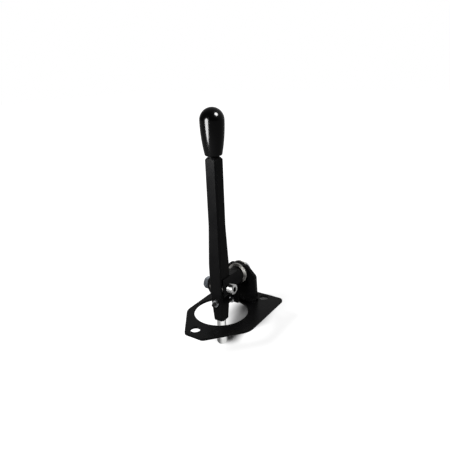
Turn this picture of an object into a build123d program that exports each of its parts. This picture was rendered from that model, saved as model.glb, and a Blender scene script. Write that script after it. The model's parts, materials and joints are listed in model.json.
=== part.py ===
from build123d import *
from math import atan2, cos, degrees, radians, sin, sqrt, tan
import os

# Short shifter: a base plate with a standing plate, a fork that swings in it from side to side,
# and a lever that tips fore and aft in the fork. Millimetres, +Z up. The origin lies on the
# underside of the base plate, at the centre of its round opening. +X runs from the lever
# towards the standing plate, along the fork's shaft.

# Base plate
plate_thickness = 4.0
opening_radius = 43.0
plate_front_x = -80.0
plate_rear_x = 85.0
front_ear_y_low = -21.0
front_ear_y_high = 11.3
plate_near_y = -69.0
plate_far_y = 50.0
near_bend_x = -25.0
far_bend_x = -25.0
ear_corner_radius = 8.0
near_bend_radius = 30.0
far_bend_radius = 24.0
edge_break = 0.5
bolt_hole_radius = 8.0
front_hole_x = -64.0
front_hole_y = 3.0
rear_hole_x = 72.0
rear_hole_spacing = 72.0
rear_hole_centre_y = -2.0

# Standing plate
upright_x = 53.0
upright_thickness = 7.0
upright_foot_half = 34.0
upright_side_half = 32.0
upright_top_half = 15.0
upright_above_hub = 15.8
shoulder_below_hub = 1.2
shoulder_radius = 7.0
weld_leg = 4.5
weld_face_share = 0.42

# Shaft axis and its bearings
hub_z = 49.5
shaft_radius = 10.0
bush_wall = 3.0
front_flange_radius = 17.5
rear_flange_radius = 18.5
bush_flange_thickness = 3.0
shaft_clearance = 0.05
seat_clearance = 0.02
thrust_gap = 0.1
shaft_thread_radius = 8.0
shaft_nut_flats = 24.0
shaft_nut_height = 7.0
shaft_nut_collar_height = 3.0
shaft_nut_collar_radius = 10.8
shaft_nut_ring_wall = 1.6
shaft_nut_ring_height = 2.0
rear_washer_radius = 15.0
rear_washer_thickness = 2.0
thread_past_nut = 0.5

# Fork
fork_radius = 19.5
fork_front_x = -8.0
fork_rear_x = 38.0
fork_edge = 1.0
neck_wall = 3.0
slot_end_x = 18.0
slot_corner_radius = 4.0
relief_depth = 7.0
spot_face_depth = 1.8
spot_face_margin = 2.2

# Stop tongue under the fork
tongue_half_width = 12.5
tongue_thickness = 5.0
tongue_above_plate = 0.5
tongue_corner_radius = 3.0
tongue_edge = 0.7
tongue_weld_leg = 3.0

# Cross bolt, M10
cross_radius = 5.0
cross_head_radius = 8.0
cross_head_height = 10.0
cross_head_edge = 0.8
cross_socket_flats = 8.0
cross_socket_depth = 5.0
cross_nut_flats = 17.0
cross_nut_height = 8.0
cross_past_nut = 1.8
cross_end_edge = 0.8
sleeve_wall = 2.0
thrust_washer_radius = 10.3
thrust_washer_thickness = 1.0
side_play = 0.2

# Chamfer on the corners of every nut, and the round it leaves on the face, as a share of the flats
nut_chamfer_angle = 30.0
nut_face_share = 0.96

# Small set screws, M6, and their lock nuts
set_radius = 3.0
set_nut_flats = 10.0
set_nut_height = 5.0
set_socket_flats = 3.0
set_socket_depth = 4.0
set_end_edge = 0.6
stop_screw_above_tongue = 6.0
stop_screw_past_tongue = 4.0
stop_gap = 0.3
clamp_screw_below_hub = 26.0
clamp_screw_past_nut = 5.0
clamp_face_depth = 0.6

# Lever bar, with its heights measured from the shaft axis
throw_angle = 11.0
bar_width = 20.5
bar_corner = 2.8
body_width_x = 25.0
flat_width_y = 22.0
flat_depth = 1.0
nose_width_x = 19.0
nose_width_y = 18.0
nose_below_hub = 58.5
taper_below_hub = 9.5
flat_low_above_hub = 10.0
flat_high_above_hub = 32.0
flat_run_rise = 4.0
flare_above_hub = 38.0
kink_above_hub = 99.5
bar_top_above_hub = 202.5
bar_top_radius = 10.0
lever_neck_radius = 8.5
lever_neck_height = 3.0
stud_radius = 5.0
stud_height = 22.0

# Selector pin
spigot_radius = 5.0
spigot_height = 43.0
pin_radius = 7.25
pin_length = 46.0
barrel_radius = 8.75
barrel_length = 17.0
barrel_straight = 8.0
barrel_end_radius = 5.5

# Knob
knob_height = 66.5
knob_base_radius = 12.4
knob_base_edge = 1.5
knob_crown_radius = 17.6
insert_radius = 7.5
insert_height = 24.0

# Worked out from the values above
body_width_y = flat_width_y + 2 * flat_depth
nose_z = hub_z - nose_below_hub
taper_z = hub_z - taper_below_hub
flat_low_z = hub_z + flat_low_above_hub
flat_high_z = hub_z + flat_high_above_hub
flare_z = hub_z + flare_above_hub
kink_z = hub_z + kink_above_hub
bar_top_z = hub_z + bar_top_above_hub
neck_radius = shaft_radius + neck_wall
relief_z = hub_z + fork_radius - relief_depth
cheek_outer_y = fork_radius - spot_face_depth
spot_face_radius = cross_head_radius + spot_face_margin
tongue_bottom_z = plate_thickness + tongue_above_plate
upright_rear_x = upright_x + upright_thickness
upright_top_z = hub_z + upright_above_hub
bush_outer_radius = shaft_radius + bush_wall
front_thrust_x = upright_x - bush_flange_thickness
rear_thrust_x = upright_rear_x + bush_flange_thickness
journal_end_x = rear_thrust_x + thrust_gap
shaft_nut_x = journal_end_x + rear_washer_thickness
shaft_end_x = shaft_nut_x + shaft_nut_height + shaft_nut_collar_height + thread_past_nut
slot_half = flat_width_y / 2 + side_play + thrust_washer_thickness
weld_face = weld_face_share * weld_leg
tongue_x = fork_rear_x - tongue_thickness
stop_screw_z = tongue_bottom_z + stop_screw_above_tongue
stop_screw_rear_x = fork_rear_x + stop_screw_past_tongue
taper_angle = atan2((body_width_x - nose_width_x) / 2, taper_z - nose_z)
foot_lean = radians(throw_angle) - taper_angle
foot_offset = cos(taper_angle) * body_width_x / 2 + sin(taper_angle) * taper_below_hub
stop_screw_low = hub_z - stop_screw_z + set_radius
stop_screw_front_x = (foot_offset + stop_screw_low * sin(foot_lean)) / cos(foot_lean) + stop_gap
clamp_screw_z = hub_z - clamp_screw_below_hub
clamp_wall = body_width_x / 2 - (clamp_screw_below_hub - taper_below_hub) * tan(taper_angle)
clamp_face_x = clamp_face_depth - clamp_wall
clamp_screw_front_x = clamp_face_x - set_nut_height - clamp_screw_past_nut
tongue_top_z = hub_z - sqrt(fork_radius**2 - tongue_half_width**2)
cross_end_y = cheek_outer_y + cross_nut_height + cross_past_nut
sleeve_radius = cross_radius + sleeve_wall
knob_z = bar_top_z + lever_neck_height
knob_top_z = knob_z + knob_height
crown_z = knob_top_z - knob_crown_radius

shaft_axis = Axis((0, 0, hub_z), (1, 0, 0))
shaft_section = Plane((0, 0, hub_z), x_dir=(1, 0, 0), z_dir=(0, -1, 0))


def across_x(x, z):
    """Plane square to X with its centre at the given height, facing +X."""
    return Plane((x, 0, z), x_dir=(0, 1, 0), z_dir=(1, 0, 0))


def across_y(y):
    """Plane square to Y on the cross bolt's axis, facing -Y."""
    return Plane((0, y, hub_z), x_dir=(1, 0, 0), z_dir=(0, -1, 0))


def hex_nut(plane, flats, height, bore):
    """Plain hexagon nut that stands on a plane, with both faces chamfered at the corners."""
    corner = flats / sqrt(3)
    corner_cut = corner - nut_face_share * flats / 2
    corner_drop = corner_cut * tan(radians(nut_chamfer_angle))
    with BuildPart() as blank:
        with BuildSketch(plane):
            Circle(corner)
        extrude(amount=height)
        chamfer(blank.edges(), length=corner_drop, length2=corner_cut)
    with BuildPart() as nut:
        with BuildSketch(plane):
            RegularPolygon(radius=corner, side_count=6)
            Circle(bore, mode=Mode.SUBTRACT)
        extrude(amount=height)
        add(blank.part, mode=Mode.INTERSECT)
    return nut.part


def set_screw(socket_plane, length):
    """Set screw that runs down from its socket end, with a chamfered point."""
    with BuildPart() as screw:
        with BuildSketch(socket_plane):
            Circle(set_radius)
        extrude(amount=-length)
        chamfer(screw.edges(), length=set_end_edge)
        with BuildSketch(socket_plane):
            RegularPolygon(radius=set_socket_flats / sqrt(3), side_count=6)
        extrude(amount=-set_socket_depth, mode=Mode.SUBTRACT)
    return screw.part


def bar_section(z, width_x, width_y):
    """Outline of the lever bar at one height: a rectangle with its corners cut off."""
    with BuildSketch(Plane.XY.offset(z)) as outline:
        Rectangle(width_x, width_y)
        chamfer(outline.vertices(), length=bar_corner)
    return outline.sketch


os.makedirs("parts", exist_ok=True)

# Base plate: a narrow ear at the front, a wide end under the standing plate
with BuildPart() as base_plate:
    with BuildSketch() as plate_outline:
        with BuildLine():
            FilletPolyline(
                (plate_front_x, front_ear_y_high),
                (plate_front_x, front_ear_y_low),
                (near_bend_x, plate_near_y),
                (plate_rear_x, plate_near_y),
                (plate_rear_x, plate_far_y),
                (far_bend_x, plate_far_y),
                radius=[
                    ear_corner_radius,
                    ear_corner_radius,
                    near_bend_radius,
                    ear_corner_radius,
                    ear_corner_radius,
                    far_bend_radius,
                ],
                close=True,
            )
        make_face()
        Circle(opening_radius, mode=Mode.SUBTRACT)
    extrude(amount=plate_thickness)
    chamfer(base_plate.faces().filter_by(Axis.Z).edges(), length=edge_break)
    with BuildSketch():
        with Locations((front_hole_x, front_hole_y)):
            Circle(bolt_hole_radius)
        with Locations((rear_hole_x, rear_hole_centre_y)):
            with GridLocations(0, rear_hole_spacing, 1, 2):
                Circle(bolt_hole_radius)
    extrude(amount=plate_thickness, mode=Mode.SUBTRACT)
base_plate.part.label = "base_plate"
export_step(base_plate.part, "parts/base_plate.step")

# Standing plate with sloped shoulders and the bearing bore
with BuildPart() as upright:
    with BuildSketch(Plane.YZ.offset(upright_x)) as upright_outline:
        with BuildLine():
            right = Polyline(
                (0, plate_thickness),
                (upright_foot_half, plate_thickness),
                (upright_side_half, hub_z - shoulder_below_hub),
                (upright_top_half, upright_top_z),
                (0, upright_top_z),
            )
            mirror(right, about=Plane.YZ)
        make_face()
        fillet(upright_outline.vertices().group_by(Axis.Y)[1:], radius=shoulder_radius)
    extrude(amount=upright_thickness)
    sides = upright.faces().filter_by(Axis.X).edges()
    chamfer(sides.group_by(Axis.Z)[1:], length=edge_break)
    with BuildSketch(across_x(upright_x, hub_z)):
        Circle(bush_outer_radius + seat_clearance)
    extrude(amount=upright_thickness, mode=Mode.SUBTRACT)
upright.part.label = "upright"
export_step(upright.part, "parts/upright.step")

# Fillet welds along both sides of the foot, with a slightly hollow face
with BuildPart() as upright_weld:
    for face_x, side in ((upright_x, -1), (upright_rear_x, 1)):
        with BuildSketch(Plane.XZ.offset(-upright_foot_half)):
            with BuildLine():
                toe = (face_x + side * weld_leg, plate_thickness)
                root = (face_x, plate_thickness)
                top = (face_x, plate_thickness + weld_leg)
                Polyline(toe, root, top)
                ThreePointArc(
                    toe,
                    (face_x + side * weld_face, plate_thickness + weld_face),
                    top,
                )
            make_face()
        extrude(amount=2 * upright_foot_half)
upright_weld.part.label = "upright_weld"
export_step(upright_weld.part, "parts/upright_weld.step")

# Two flanged bushes that meet inside the standing plate
sleeve_length = upright_thickness / 2 - thrust_gap
for name, flange_x, side, flange_radius in (
    ("front_bush", upright_x, -1, front_flange_radius),
    ("rear_bush", upright_rear_x, 1, rear_flange_radius),
):
    with BuildPart() as bush:
        with BuildSketch(shaft_section):
            with BuildLine():
                Polyline(
                    (flange_x + side * bush_flange_thickness, shaft_radius + shaft_clearance),
                    (flange_x + side * bush_flange_thickness, flange_radius),
                    (flange_x, flange_radius),
                    (flange_x, bush_outer_radius),
                    (flange_x - side * sleeve_length, bush_outer_radius),
                    (flange_x - side * sleeve_length, shaft_radius + shaft_clearance),
                    close=True,
                )
            make_face()
        revolve(axis=shaft_axis)
        rims = bush.edges().filter_by(GeomType.CIRCLE).filter_by(
            lambda edge: abs(edge.radius - flange_radius) < seat_clearance
        )
        chamfer(rims, length=edge_break)
    bush.part.label = name
    export_step(bush.part, f"parts/{name}.step")

# Fork: head, neck, journal and threaded end turned in one, then slotted for the lever
with BuildPart() as pivot_fork:
    with BuildSketch(shaft_section):
        with BuildLine():
            Polyline(
                (fork_front_x, 0),
                (fork_front_x, fork_radius - fork_edge),
                (fork_front_x + fork_edge, fork_radius),
                (fork_rear_x - fork_edge, fork_radius),
                (fork_rear_x, fork_radius - fork_edge),
                (fork_rear_x, neck_radius),
                (front_thrust_x - thrust_gap, neck_radius),
                (front_thrust_x - thrust_gap, shaft_radius),
                (journal_end_x, shaft_radius),
                (journal_end_x, shaft_thread_radius),
                (shaft_end_x - fork_edge, shaft_thread_radius),
                (shaft_end_x, shaft_thread_radius - fork_edge),
                (shaft_end_x, 0),
                close=True,
            )
        make_face()
    revolve(axis=shaft_axis)
    slot_start_x = fork_front_x - fork_edge
    with BuildSketch(Plane.XY.offset(hub_z)) as slot:
        with Locations(((slot_start_x + slot_end_x) / 2, 0)):
            Rectangle(slot_end_x - slot_start_x, 2 * slot_half)
        fillet(slot.vertices().group_by(Axis.X)[-1], radius=slot_corner_radius)
    extrude(amount=2 * fork_radius, both=True, mode=Mode.SUBTRACT)
    with BuildSketch(Plane.XY.offset(relief_z)):
        with Locations(((slot_start_x + fork_rear_x) / 2, 0)):
            Rectangle(fork_rear_x - slot_start_x, 2 * slot_half)
    extrude(amount=fork_radius, mode=Mode.SUBTRACT)
    with BuildSketch(Plane.XY.offset(tongue_top_z)):
        with Locations((tongue_x + tongue_thickness / 2, 0)):
            Rectangle(tongue_thickness, 2 * fork_radius)
    extrude(amount=-fork_radius, mode=Mode.SUBTRACT)
    for side in (-1, 1):
        with BuildSketch(across_y(side * cheek_outer_y)):
            Circle(spot_face_radius)
            with Locations((slot_start_x / 2, 0)):
                Rectangle(-slot_start_x, 2 * spot_face_radius)
        extrude(amount=-side * fork_radius, mode=Mode.SUBTRACT)
    with BuildSketch(across_y(0)):
        Circle(cross_radius + shaft_clearance)
    extrude(amount=fork_radius, both=True, mode=Mode.SUBTRACT)
pivot_fork.part.label = "pivot_fork"
export_step(pivot_fork.part, "parts/pivot_fork.step")

# Tongue let into the underside of the fork, which carries the throw stop
with BuildPart() as stop_tongue:
    with BuildSketch(Plane.YZ.offset(tongue_x)) as tongue_outline:
        with Locations((0, (tongue_bottom_z + tongue_top_z) / 2)):
            Rectangle(2 * tongue_half_width, tongue_top_z - tongue_bottom_z)
        fillet(tongue_outline.vertices().group_by(Axis.Y)[0], radius=tongue_corner_radius)
        with Locations((0, stop_screw_z)):
            Circle(set_radius + seat_clearance, mode=Mode.SUBTRACT)
    extrude(amount=tongue_thickness)
    tongue_rims = stop_tongue.faces().filter_by(Axis.X).edges()
    chamfer(tongue_rims.group_by(Axis.Z)[:-1], length=tongue_edge)
stop_tongue.part.label = "stop_tongue"
export_step(stop_tongue.part, "parts/stop_tongue.step")

# Weld beads that join the tongue to the fork: one round the front seam, one across the back
tongue_half_angle = degrees(atan2(tongue_half_width, hub_z - tongue_top_z))
weld_radius = fork_radius + seat_clearance
front_bead_section = Plane((0, 0, hub_z), x_dir=(1, 0, 0), z_dir=(0, 1, 0)).rotated(
    (-tongue_half_angle, 0, 0)
)
with BuildPart() as tongue_weld:
    with BuildSketch(front_bead_section):
        with BuildLine():
            Polyline(
                (tongue_x, weld_radius),
                (tongue_x - tongue_weld_leg, weld_radius),
                (tongue_x, weld_radius + tongue_weld_leg),
                close=True,
            )
        make_face()
    revolve(axis=shaft_axis, revolution_arc=2 * tongue_half_angle)
    with BuildSketch(Plane.XZ.offset(-tongue_half_width)):
        with BuildLine():
            bead = ThreePointArc(
                (fork_rear_x, tongue_top_z - tongue_weld_leg / 2),
                (fork_rear_x + tongue_weld_leg / 3, tongue_top_z),
                (fork_rear_x, tongue_top_z + tongue_weld_leg / 2),
            )
            Line(bead @ 1, bead @ 0)
        make_face()
    extrude(amount=2 * tongue_half_width)
    with BuildSketch(across_x(fork_rear_x, hub_z)):
        Circle(neck_radius + seat_clearance)
    extrude(amount=tongue_weld_leg, mode=Mode.SUBTRACT)
tongue_weld.part.label = "tongue_weld"
export_step(tongue_weld.part, "parts/tongue_weld.step")

# Throw stop screw and its lock nut on the lever side of the tongue
throw_stop_screw = BuildPart()
with throw_stop_screw:
    add(set_screw(across_x(stop_screw_rear_x, stop_screw_z), stop_screw_rear_x - stop_screw_front_x))
throw_stop_screw.part.label = "throw_stop_screw"
export_step(throw_stop_screw.part, "parts/throw_stop_screw.step")

with BuildPart() as throw_stop_nut:
    nut_plane = across_x(tongue_x - set_nut_height, stop_screw_z)
    add(hex_nut(nut_plane, set_nut_flats, set_nut_height, set_radius + seat_clearance))
throw_stop_nut.part.label = "throw_stop_nut"
export_step(throw_stop_nut.part, "parts/throw_stop_nut.step")

# Thrust washer and lock nut behind the rear bush
with BuildPart() as rear_thrust_washer:
    with BuildSketch(across_x(journal_end_x, hub_z)):
        Circle(rear_washer_radius)
        Circle(shaft_thread_radius + seat_clearance, mode=Mode.SUBTRACT)
    extrude(amount=rear_washer_thickness)
rear_thrust_washer.part.label = "rear_thrust_washer"
export_step(rear_thrust_washer.part, "parts/rear_thrust_washer.step")

ring_radius = shaft_thread_radius + shaft_nut_ring_wall
ring_x = shaft_nut_x + shaft_nut_height
with BuildPart() as shaft_nut:
    nut_plane = across_x(shaft_nut_x, hub_z)
    add(hex_nut(nut_plane, shaft_nut_flats, shaft_nut_height, shaft_thread_radius + seat_clearance))
    with BuildSketch(across_x(ring_x, hub_z)):
        Circle(shaft_nut_collar_radius)
        Circle(ring_radius + seat_clearance, mode=Mode.SUBTRACT)
    extrude(amount=shaft_nut_collar_height)
shaft_nut.part.label = "shaft_nut"
export_step(shaft_nut.part, "parts/shaft_nut.step")

with BuildPart() as shaft_nut_ring:
    with BuildSketch(across_x(ring_x, hub_z)):
        Circle(ring_radius)
        Circle(shaft_thread_radius + seat_clearance, mode=Mode.SUBTRACT)
    extrude(amount=shaft_nut_ring_height)
shaft_nut_ring.part.label = "shaft_nut_ring"
export_step(shaft_nut_ring.part, "parts/shaft_nut_ring.step")

# Cross bolt: socket head on the near cheek, thin nut on the far one
with BuildPart() as cross_bolt:
    with BuildSketch(across_y(-cheek_outer_y)):
        Circle(cross_head_radius)
    extrude(amount=cross_head_height)
    chamfer(cross_bolt.edges().group_by(Axis.Y)[0], length=cross_head_edge)
    with BuildSketch(across_y(-cheek_outer_y - cross_head_height)):
        RegularPolygon(radius=cross_socket_flats / sqrt(3), side_count=6)
    extrude(amount=-cross_socket_depth, mode=Mode.SUBTRACT)
    with BuildSketch(across_y(-cheek_outer_y)):
        Circle(cross_radius)
    extrude(amount=-(cheek_outer_y + cross_end_y))
    chamfer(cross_bolt.edges().group_by(Axis.Y)[-1], length=cross_end_edge)
cross_bolt.part.label = "cross_bolt"
export_step(cross_bolt.part, "parts/cross_bolt.step")

with BuildPart() as cross_nut:
    nut_plane = across_y(cheek_outer_y + cross_nut_height)
    add(hex_nut(nut_plane, cross_nut_flats, cross_nut_height, cross_radius + seat_clearance))
cross_nut.part.label = "cross_nut"
export_step(cross_nut.part, "parts/cross_nut.step")

# Thrust washers on the cross bolt, one each side of the lever
with BuildPart() as lever_thrust_washers:
    for side in (-1, 1):
        washer_y = side * (slot_half - thrust_washer_thickness)
        with BuildSketch(across_y(washer_y)):
            Circle(thrust_washer_radius)
            Circle(cross_radius + seat_clearance, mode=Mode.SUBTRACT)
        extrude(amount=-side * thrust_washer_thickness)
lever_thrust_washers.part.label = "lever_thrust_washers"
export_step(lever_thrust_washers.part, "parts/lever_thrust_washers.step")

# Lever bar: nose, body with milled flats, flare, plain bar, turned top and threaded stud
with BuildPart() as lever_bar:
    add(bar_section(nose_z, nose_width_x, nose_width_y))
    add(bar_section(taper_z, body_width_x, body_width_y))
    loft(ruled=True)
    add(bar_section(taper_z, body_width_x, body_width_y))
    extrude(amount=flare_z - taper_z)
    add(bar_section(flare_z, body_width_x, body_width_y))
    add(bar_section(kink_z, bar_width, bar_width))
    loft(ruled=True)
    for side in (-1, 1):
        with BuildSketch(Plane.XZ.offset(side * flat_width_y / 2)):
            with BuildLine():
                flat_top = SagittaArc(
                    (-body_width_x, flat_low_z),
                    (body_width_x, flat_high_z),
                    flat_run_rise,
                )
                Polyline(
                    flat_top @ 1,
                    (body_width_x, nose_z),
                    (-body_width_x, nose_z),
                    flat_top @ 0,
                )
            make_face()
        extrude(amount=side * body_width_y, mode=Mode.SUBTRACT)
    add(bar_section(kink_z, bar_width, bar_width))
    extrude(amount=bar_top_z - kink_z)
    with BuildSketch(Plane.XZ):
        with BuildLine():
            Polyline(
                (bar_top_radius, bar_top_z),
                (bar_width, bar_top_z - (bar_width - bar_top_radius)),
                (bar_width, bar_top_z),
                close=True,
            )
        make_face()
    revolve(axis=Axis.Z, mode=Mode.SUBTRACT)
    with BuildSketch(Plane.XY.offset(bar_top_z)):
        Circle(lever_neck_radius)
    extrude(amount=lever_neck_height)
    with BuildSketch(Plane.XY.offset(knob_z)):
        Circle(stud_radius)
    extrude(amount=stud_height)
    with BuildSketch(across_y(0)):
        Circle(sleeve_radius + seat_clearance)
    extrude(amount=body_width_y, both=True, mode=Mode.SUBTRACT)
    with BuildSketch(Plane.XY.offset(nose_z)):
        Circle(spigot_radius + seat_clearance)
    extrude(amount=spigot_height + side_play, mode=Mode.SUBTRACT)
    with BuildSketch(across_x(0, clamp_screw_z)):
        Circle(set_radius + seat_clearance)
    extrude(amount=-body_width_x, mode=Mode.SUBTRACT)
    with BuildSketch(across_x(clamp_face_x, clamp_screw_z)):
        Circle(set_nut_flats / sqrt(3) + side_play)
    extrude(amount=-body_width_x, mode=Mode.SUBTRACT)
lever_bar.part.label = "lever_bar"
export_step(lever_bar.part, "parts/lever_bar.step")

# Bearing sleeve of the cross bolt
with BuildPart() as lever_sleeve:
    with BuildSketch(across_y(flat_width_y / 2)):
        Circle(sleeve_radius)
        Circle(cross_radius + shaft_clearance, mode=Mode.SUBTRACT)
    extrude(amount=flat_width_y)
lever_sleeve.part.label = "lever_sleeve"
export_step(lever_sleeve.part, "parts/lever_sleeve.step")

# Clamp screw that holds the selector pin, and its lock nut
clamp_screw_rear_x = -spigot_radius - side_play
with BuildPart() as pin_clamp_screw:
    socket_plane = Plane((clamp_screw_front_x, 0, clamp_screw_z), x_dir=(0, 1, 0), z_dir=(-1, 0, 0))
    add(set_screw(socket_plane, clamp_screw_rear_x - clamp_screw_front_x))
pin_clamp_screw.part.label = "pin_clamp_screw"
export_step(pin_clamp_screw.part, "parts/pin_clamp_screw.step")

with BuildPart() as pin_clamp_nut:
    nut_plane = across_x(clamp_face_x - set_nut_height, clamp_screw_z)
    add(hex_nut(nut_plane, set_nut_flats, set_nut_height, set_radius + seat_clearance))
pin_clamp_nut.part.label = "pin_clamp_nut"
export_step(pin_clamp_nut.part, "parts/pin_clamp_nut.step")

# Selector pin: spigot in the lever, plain shank, wider barrel with a rounded end
pin_bottom_z = nose_z - pin_length
barrel_top_z = pin_bottom_z + barrel_length
straight_bottom_z = pin_bottom_z + (barrel_length - barrel_straight) / 2
straight_top_z = straight_bottom_z + barrel_straight
with BuildPart() as selector_pin:
    with BuildSketch(Plane.XZ):
        with BuildLine():
            Polyline(
                (0, nose_z + spigot_height),
                (spigot_radius, nose_z + spigot_height),
                (spigot_radius, nose_z),
                (pin_radius, nose_z),
                (pin_radius, barrel_top_z),
            )
            ThreePointArc(
                (pin_radius, barrel_top_z),
                ((pin_radius + 2 * barrel_radius) / 3, (barrel_top_z + straight_top_z) / 2),
                (barrel_radius, straight_top_z),
            )
            Line((barrel_radius, straight_top_z), (barrel_radius, straight_bottom_z))
            ThreePointArc(
                (barrel_radius, straight_bottom_z),
                ((2 * barrel_radius + barrel_end_radius) / 3, (pin_bottom_z + straight_bottom_z) / 2),
                (barrel_end_radius, pin_bottom_z),
            )
            Polyline(
                (barrel_end_radius, pin_bottom_z),
                (0, pin_bottom_z),
                (0, nose_z + spigot_height),
            )
        make_face()
    revolve(axis=Axis.Z)
selector_pin.part.label = "selector_pin"
export_step(selector_pin.part, "parts/selector_pin.step")

# Threaded insert moulded into the knob
with BuildPart() as knob_insert:
    with BuildSketch(Plane.XY.offset(knob_z)):
        Circle(insert_radius)
        Circle(stud_radius + seat_clearance, mode=Mode.SUBTRACT)
    extrude(amount=insert_height)
knob_insert.part.label = "knob_insert"
export_step(knob_insert.part, "parts/knob_insert.step")

# Knob: pear shape, turned about the lever's axis, with a blind bore for the insert
with BuildPart() as gear_knob:
    with BuildSketch(Plane.XZ) as knob_outline:
        with BuildLine():
            Line((0, knob_z), (knob_base_radius, knob_z))
            TangentArc((knob_crown_radius, crown_z), (knob_base_radius, knob_z), tangent=(0, -1))
            CenterArc((0, crown_z), knob_crown_radius, 0, 90)
            Line((0, knob_top_z), (0, knob_z))
        make_face()
        fillet(knob_outline.vertices().group_by(Axis.Y)[0].sort_by(Axis.X)[-1], radius=knob_base_edge)
    revolve(axis=Axis.Z)
    with BuildSketch(Plane.XY.offset(knob_z)):
        Circle(insert_radius + seat_clearance)
    extrude(amount=insert_height + side_play, mode=Mode.SUBTRACT)
gear_knob.part.label = "gear_knob"
export_step(gear_knob.part, "parts/gear_knob.step")
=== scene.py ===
"""Short shifter: finishes, fine pieces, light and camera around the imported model."""

import json
import logging
import math
from collections.abc import Callable
from dataclasses import dataclass, field
from enum import Enum
from functools import partial, reduce

import bmesh
import bpy
from mathutils import Matrix, Vector

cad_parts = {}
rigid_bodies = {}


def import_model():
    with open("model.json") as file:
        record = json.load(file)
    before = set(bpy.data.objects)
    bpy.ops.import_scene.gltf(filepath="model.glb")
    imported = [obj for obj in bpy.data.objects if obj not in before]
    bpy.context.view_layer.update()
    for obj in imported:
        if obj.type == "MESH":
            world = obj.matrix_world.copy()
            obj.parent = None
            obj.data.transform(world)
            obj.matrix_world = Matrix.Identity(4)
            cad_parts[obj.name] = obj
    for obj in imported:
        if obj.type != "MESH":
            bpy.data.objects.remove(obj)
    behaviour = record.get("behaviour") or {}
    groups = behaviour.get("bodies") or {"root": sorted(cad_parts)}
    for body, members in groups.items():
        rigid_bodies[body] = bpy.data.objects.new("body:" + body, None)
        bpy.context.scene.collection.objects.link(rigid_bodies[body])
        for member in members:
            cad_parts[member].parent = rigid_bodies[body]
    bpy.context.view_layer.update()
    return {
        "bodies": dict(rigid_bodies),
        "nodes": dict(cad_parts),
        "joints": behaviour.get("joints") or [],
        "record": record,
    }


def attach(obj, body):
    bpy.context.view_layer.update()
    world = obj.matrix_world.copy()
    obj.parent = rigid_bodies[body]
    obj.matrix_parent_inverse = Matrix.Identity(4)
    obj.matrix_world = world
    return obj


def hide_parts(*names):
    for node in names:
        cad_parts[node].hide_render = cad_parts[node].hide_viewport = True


LOG = logging.getLogger("short_shifter")
MM = 0.001
FULL_TURN = 2.0 * math.pi
ORIGIN = (0.0, 0.0, 0.0)
# Where the axes of both hinges cross.
HUB = (0.0, 0.0, 49.5 * MM)

Pair = tuple[float, float]
Triple = tuple[float, float, float]
Node = bpy.types.Node
Socket = bpy.types.NodeSocket
Sockets = dict[str, Socket]
Work = bmesh.types.BMesh
# The seam's point, the offsets of both toes from it and the way out.
SeamPoint = tuple[Vector, Vector, Vector, Vector]


class Along(Enum):
    """Axis that a turned, ground or threaded form runs along."""

    X = 0
    Y = 1
    Z = 2

    def unit(self, step: int = 0) -> Triple:
        """Returns the axis as a unit vector, or the axis that comes some steps after it."""
        return tuple(float(index == (self.value + step) % 3) for index in range(3))


# Shader node groups


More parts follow.
